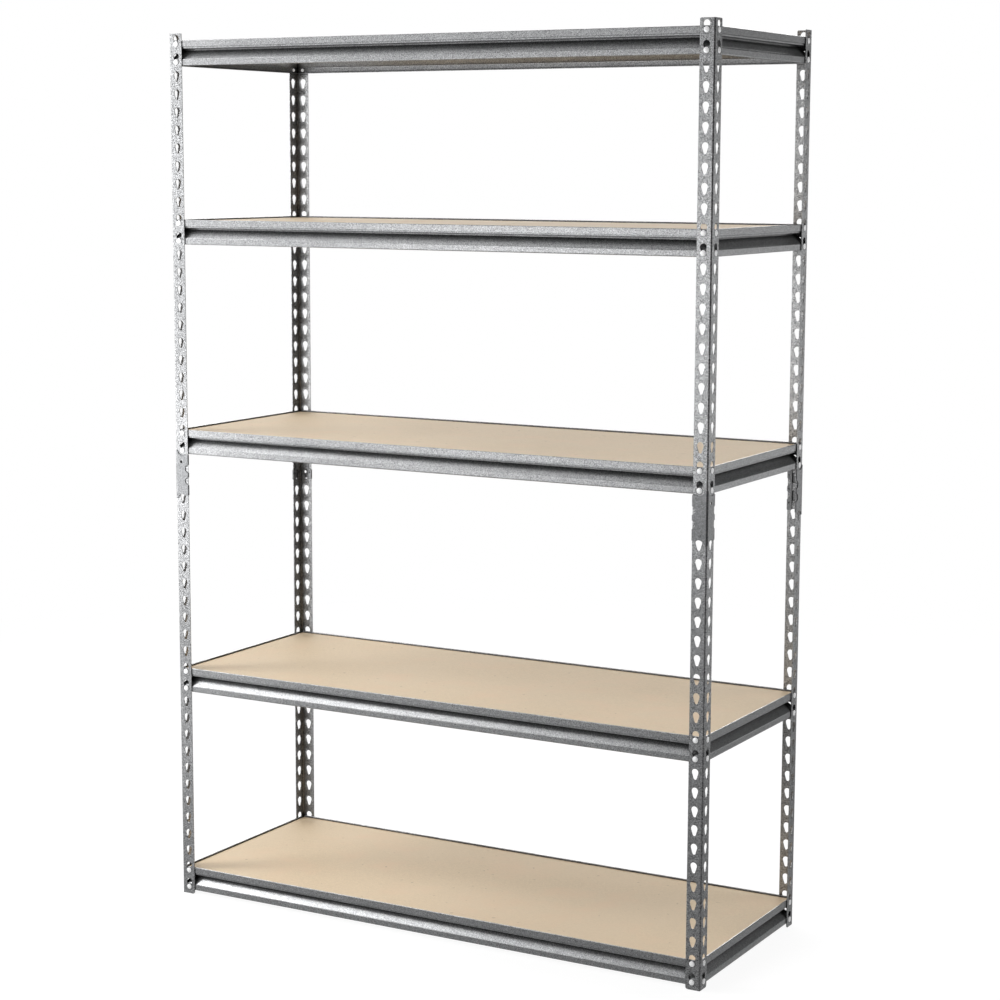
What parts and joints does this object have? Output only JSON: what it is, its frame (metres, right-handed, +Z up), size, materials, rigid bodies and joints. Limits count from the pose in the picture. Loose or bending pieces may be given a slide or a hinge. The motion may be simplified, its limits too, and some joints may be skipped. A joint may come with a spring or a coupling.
{
  "type": "boltless steel shelving",
  "caption": "Free-standing shelving rack of keyhole angle posts and formed beams that hook in with rivets and carry particle board decks.",
  "frame": {"origin": "on the floor under the middle of the rack", "axes": "+Z up; +X along the long side, to the right seen from the front; -Y towards the front"},
  "size_m": [1.2318, 0.466, 1.8288],
  "materials": {
    "post_steel": "silver-grey hammered powder coat",
    "beam_steel": "silver-grey hammered powder coat",
    "sleeve_steel": "smooth grey powder coat",
    "rivet_zinc": "bright zinc plate",
    "deck_board": "plain particle board, unsealed"
  },
  "bodies": {
    "posts": {"post_front_left_lower": "post_steel", "post_front_left_upper": "post_steel", "post_front_right_lower": "post_steel", "post_front_right_upper": "post_steel", "post_rear_right_lower": "post_steel", "post_rear_right_upper": "post_steel", "post_rear_left_lower": "post_steel", "post_rear_left_upper": "post_steel", "sleeve_front_left": "sleeve_steel", "sleeve_front_right": "sleeve_steel", "sleeve_rear_right": "sleeve_steel", "sleeve_rear_left": "sleeve_steel"},
    "shelf_1_frame": {"shelf_1_beam_front": "beam_steel", "shelf_1_beam_right": "beam_steel", "shelf_1_beam_rear": "beam_steel", "shelf_1_beam_left": "beam_steel", "shelf_1_rivets": "rivet_zinc"},
    "shelf_1_board": {"shelf_1_deck": "deck_board"},
    "shelf_2_frame": {"shelf_2_beam_front": "beam_steel", "shelf_2_beam_right": "beam_steel", "shelf_2_beam_rear": "beam_steel", "shelf_2_beam_left": "beam_steel", "shelf_2_rivets": "rivet_zinc"},
    "shelf_2_board": {"shelf_2_deck": "deck_board"},
    "shelf_3_frame": {"shelf_3_beam_front": "beam_steel", "shelf_3_beam_right": "beam_steel", "shelf_3_beam_rear": "beam_steel", "shelf_3_beam_left": "beam_steel", "shelf_3_rivets": "rivet_zinc"},
    "shelf_3_board": {"shelf_3_deck": "deck_board"},
    "shelf_4_frame": {"shelf_4_beam_front": "beam_steel", "shelf_4_beam_right": "beam_steel", "shelf_4_beam_rear": "beam_steel", "shelf_4_beam_left": "beam_steel", "shelf_4_rivets": "rivet_zinc"},
    "shelf_4_board": {"shelf_4_deck": "deck_board"},
    "shelf_5_frame": {"shelf_5_beam_front": "beam_steel", "shelf_5_beam_right": "beam_steel", "shelf_5_beam_rear": "beam_steel", "shelf_5_beam_left": "beam_steel", "shelf_5_rivets": "rivet_zinc"},
    "shelf_5_board": {"shelf_5_deck": "deck_board"}
  },
  "joints": [
    {"name": "shelf_1_unhook", "type": "slide", "parent": "posts", "child": "shelf_1_frame", "axis": [0, 0, 1], "range_m": [0, 0.011]},
    {"name": "shelf_1_board_lift", "type": "slide", "parent": "shelf_1_frame", "child": "shelf_1_board", "axis": [0, 0, 1], "range_m": [0, 0.37]},
    {"name": "shelf_2_unhook", "type": "slide", "parent": "posts", "child": "shelf_2_frame", "axis": [0, 0, 1], "range_m": [0, 0.011]},
    {"name": "shelf_2_board_lift", "type": "slide", "parent": "shelf_2_frame", "child": "shelf_2_board", "axis": [0, 0, 1], "range_m": [0, 0.443]},
    {"name": "shelf_3_unhook", "type": "slide", "parent": "posts", "child": "shelf_3_frame", "axis": [0, 0, 1], "range_m": [0, 0.011]},
    {"name": "shelf_3_board_lift", "type": "slide", "parent": "shelf_3_frame", "child": "shelf_3_board", "axis": [0, 0, 1], "range_m": [0, 0.37]},
    {"name": "shelf_4_unhook", "type": "slide", "parent": "posts", "child": "shelf_4_frame", "axis": [0, 0, 1], "range_m": [0, 0.011]},
    {"name": "shelf_4_board_lift", "type": "slide", "parent": "shelf_4_frame", "child": "shelf_4_board", "axis": [0, 0, 1], "range_m": [0, 0.297]},
    {"name": "shelf_5_unhook", "type": "slide", "parent": "posts", "child": "shelf_5_frame", "axis": [0, 0, 1], "range_m": [0, 0.011]},
    {"name": "shelf_5_board_lift", "type": "slide", "parent": "shelf_5_frame", "child": "shelf_5_board", "axis": [0, 0, 1], "range_m": [0, 0.3]}
  ]
}
